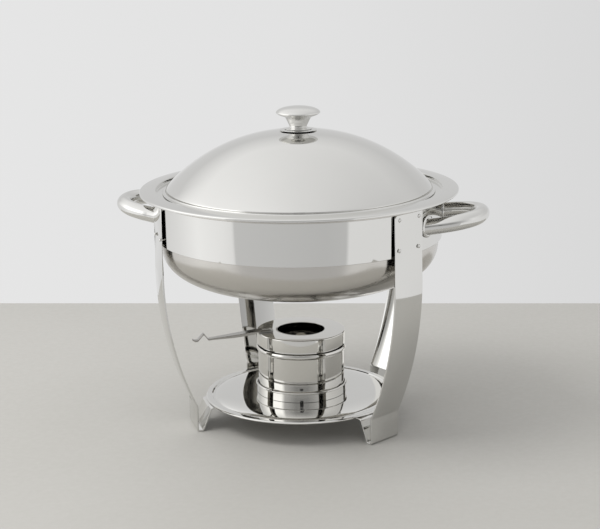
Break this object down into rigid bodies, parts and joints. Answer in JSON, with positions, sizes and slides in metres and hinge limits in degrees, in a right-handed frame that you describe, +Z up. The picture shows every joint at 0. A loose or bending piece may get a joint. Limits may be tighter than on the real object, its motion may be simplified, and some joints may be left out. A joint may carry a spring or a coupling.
{
  "type": "round chafing dish",
  "caption": "Round chafing dish with a lift-off domed lid, loop handles, strap legs and a fuel burner with a regulator lever on a tray between the feet.",
  "frame": {"origin": "on the floor under the middle of the dish", "axes": "+Z up, -Y towards the front, +X to the right as seen from the front, along the line of the two loop handles"},
  "size_m": [0.432, 0.36, 0.3639],
  "materials": {
    "polished_steel": "mirror-polished stainless steel",
    "satin_steel": "satin stainless steel with a faint brushed grain",
    "burner_steel": "polished stainless steel",
    "fastener_steel": "semi-bright stainless steel"
  },
  "bodies": {
    "frame": {"band_ring": "polished_steel", "leg_front_left": "polished_steel", "leg_front_right": "polished_steel", "leg_rear_left": "polished_steel", "leg_rear_right": "polished_steel", "rivet_front_left_lower_left": "fastener_steel", "rivet_front_left_lower_right": "fastener_steel", "rivet_front_left_upper_left": "fastener_steel", "rivet_front_left_upper_right": "fastener_steel", "rivet_front_right_lower_left": "fastener_steel", "rivet_front_right_lower_right": "fastener_steel", "rivet_front_right_upper_left": "fastener_steel", "rivet_front_right_upper_right": "fastener_steel", "rivet_rear_left_lower_left": "fastener_steel", "rivet_rear_left_lower_right": "fastener_steel", "rivet_rear_left_upper_left": "fastener_steel", "rivet_rear_left_upper_right": "fastener_steel", "rivet_rear_right_lower_left": "fastener_steel", "rivet_rear_right_lower_right": "fastener_steel", "rivet_rear_right_upper_left": "fastener_steel", "rivet_rear_right_upper_right": "fastener_steel", "handle_left": "polished_steel", "handle_left_flange_front": "polished_steel", "handle_left_flange_rear": "polished_steel", "handle_right": "polished_steel", "handle_right_flange_front": "polished_steel", "handle_right_flange_rear": "polished_steel", "burner_tray": "polished_steel", "burner_collar": "burner_steel"},
    "water_pan": {"water_pan": "satin_steel"},
    "food_pan": {"food_pan": "polished_steel"},
    "lid": {"lid_dome": "polished_steel", "lid_knob": "polished_steel", "knob_base_washer": "polished_steel", "knob_inner_washer": "fastener_steel", "knob_screw": "fastener_steel"},
    "burner_cup": {"burner_cup": "burner_steel"},
    "burner_cap": {"burner_cap": "burner_steel", "burner_lever": "burner_steel", "lever_rivet_inner": "fastener_steel", "lever_rivet_outer": "fastener_steel"}
  },
  "joints": [
    {"name": "water_pan_lift", "type": "slide", "parent": "frame", "child": "water_pan", "axis": [0, 0, 1], "range_m": [0, 0.12]},
    {"name": "food_pan_lift", "type": "slide", "parent": "water_pan", "child": "food_pan", "axis": [0, 0, 1], "range_m": [0, 0.1]},
    {"name": "lid_lift", "type": "slide", "parent": "food_pan", "child": "lid", "axis": [0, 0, 1], "range_m": [0, 0.15]},
    {"name": "burner_lift", "type": "slide", "parent": "frame", "child": "burner_cup", "axis": [0, 0, 1], "range_m": [0, 0.04]},
    {"name": "regulator_turn", "type": "hinge", "parent": "burner_cup", "child": "burner_cap", "pos_m": [0, 0, 0.09], "axis": [0, 0, 1], "range_deg": [-50, 50]}
  ]
}
